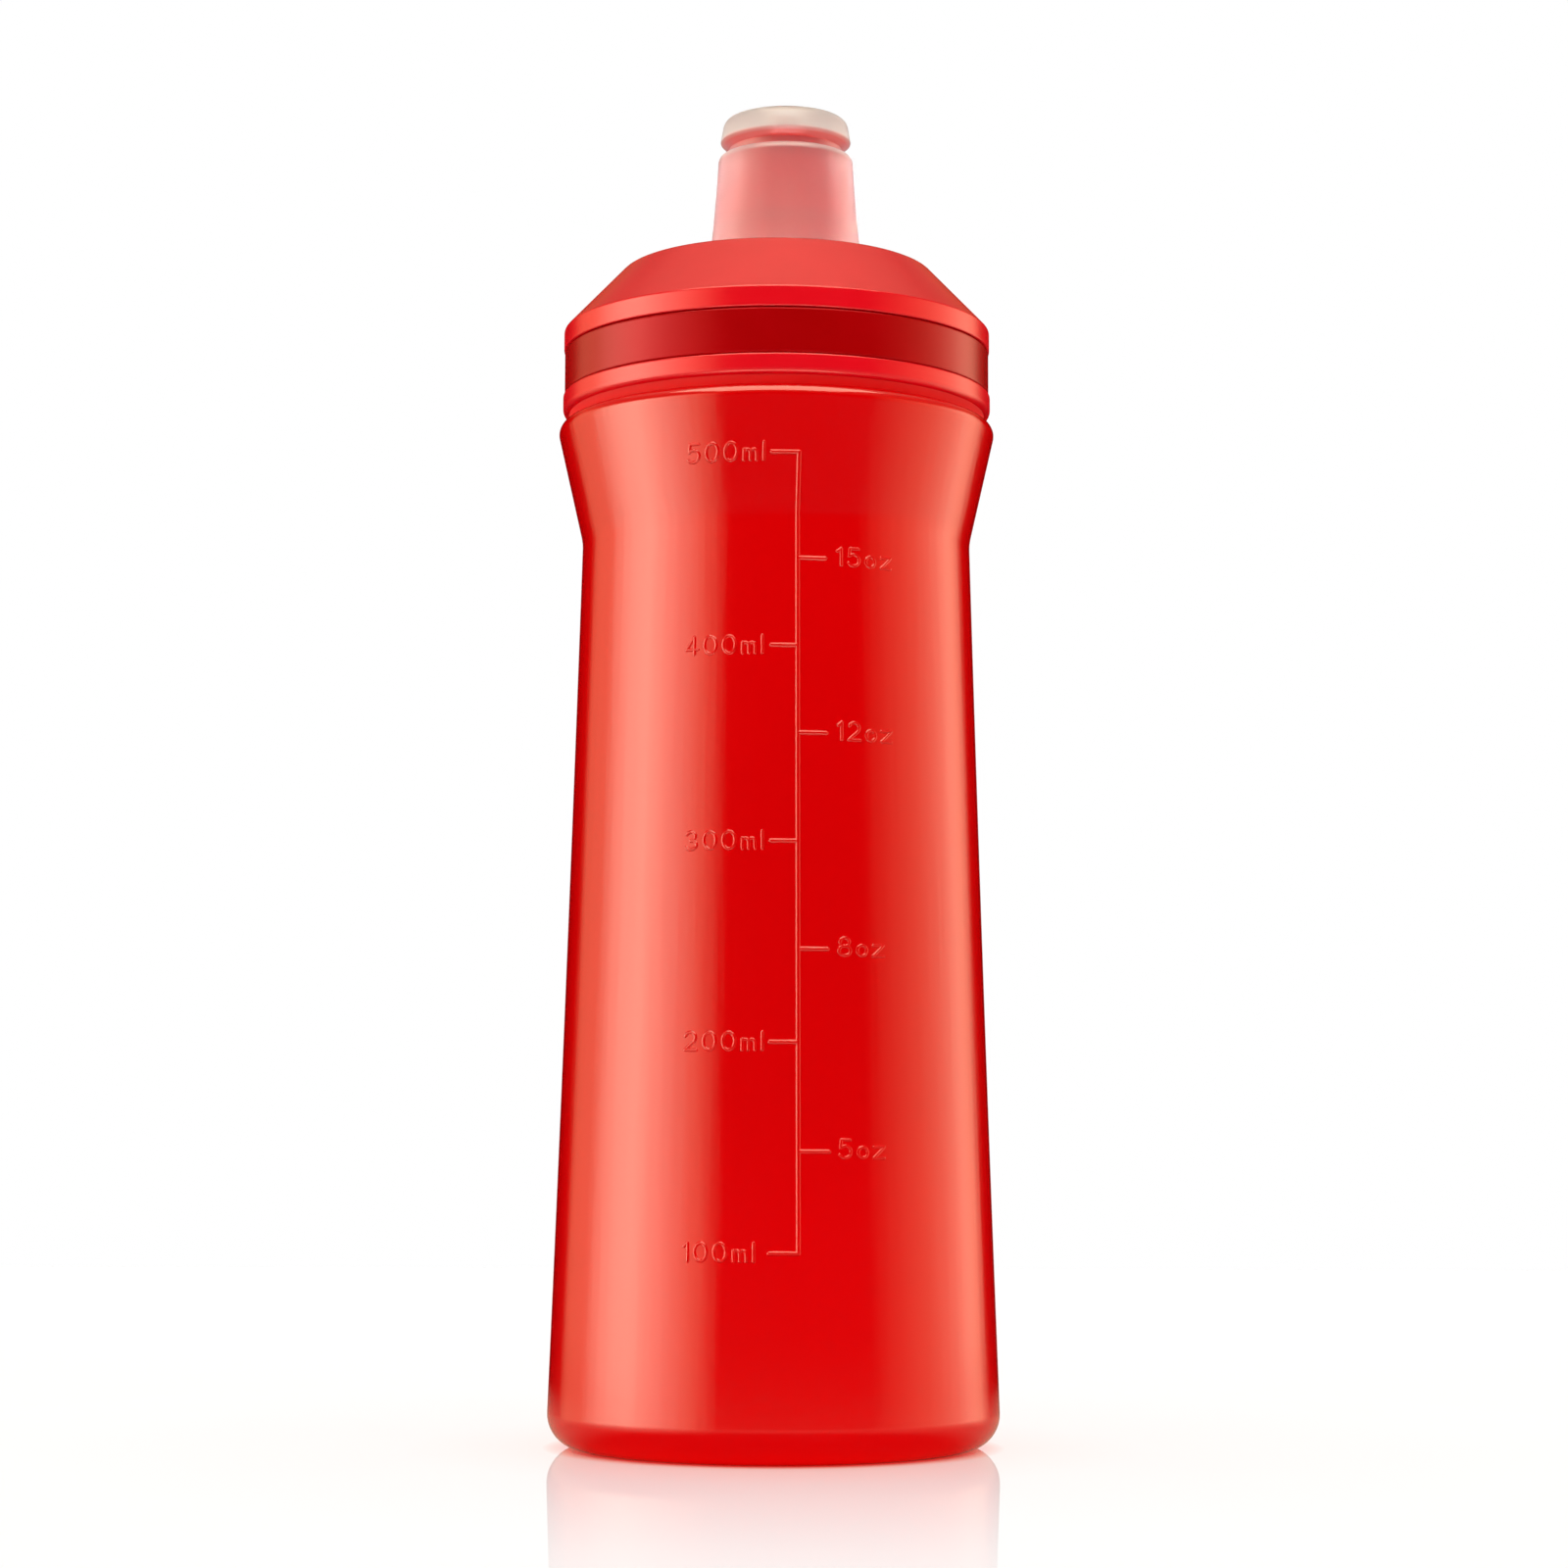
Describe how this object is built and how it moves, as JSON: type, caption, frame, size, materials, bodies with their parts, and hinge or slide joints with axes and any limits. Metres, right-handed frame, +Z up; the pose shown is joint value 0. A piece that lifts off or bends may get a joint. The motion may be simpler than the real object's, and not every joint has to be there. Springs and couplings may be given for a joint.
{
  "type": "sports squeeze bottle",
  "caption": "Waisted soft plastic squeeze bottle with a volume scale, a conical screw cap with a grip band, and a push-pull drinking nozzle.",
  "frame": {"origin": "centre of the foot, on the surface that the bottle stands on", "axes": "+Z up along the bottle's axis, towards the nozzle; -Y is the side with the volume scale"},
  "size_m": [0.0734, 0.0734, 0.2205],
  "materials": {
    "bottle_plastic": "satin red blow-moulded LDPE",
    "gasket_rubber": "natural white silicone",
    "cap_plastic": "matt light red injection-moulded polypropylene",
    "band_rubber": "dark red thermoplastic elastomer",
    "stem_plastic": "red injection-moulded polyethylene",
    "nozzle_plastic": "milky translucent natural polyethylene"
  },
  "bodies": {
    "bottle_body": {"bottle": "bottle_plastic"},
    "gasket_body": {"cap_gasket": "gasket_rubber"},
    "cap_body": {"cap_shell": "cap_plastic", "grip_band": "band_rubber", "spout_stem": "stem_plastic"},
    "nozzle_body": {"nozzle": "nozzle_plastic"}
  },
  "joints": [
    {"name": "cap_lift", "type": "slide", "parent": "bottle_body", "child": "gasket_body", "axis": [0, 0, 1], "range_m": [0, 0.016]},
    {"name": "cap_turn", "type": "hinge", "parent": "gasket_body", "child": "cap_body", "pos_m": [0, 0, 0.17], "axis": [0, 0, 1], "range_deg": [0, 720]},
    {"name": "nozzle_pull", "type": "slide", "parent": "cap_body", "child": "nozzle_body", "axis": [0, 0, 1], "range_m": [0, 0.006]}
  ],
  "couplings": [
    {"joint": "cap_lift", "follows": "cap_turn", "m_per_rad": 0.0012732}
  ]
}
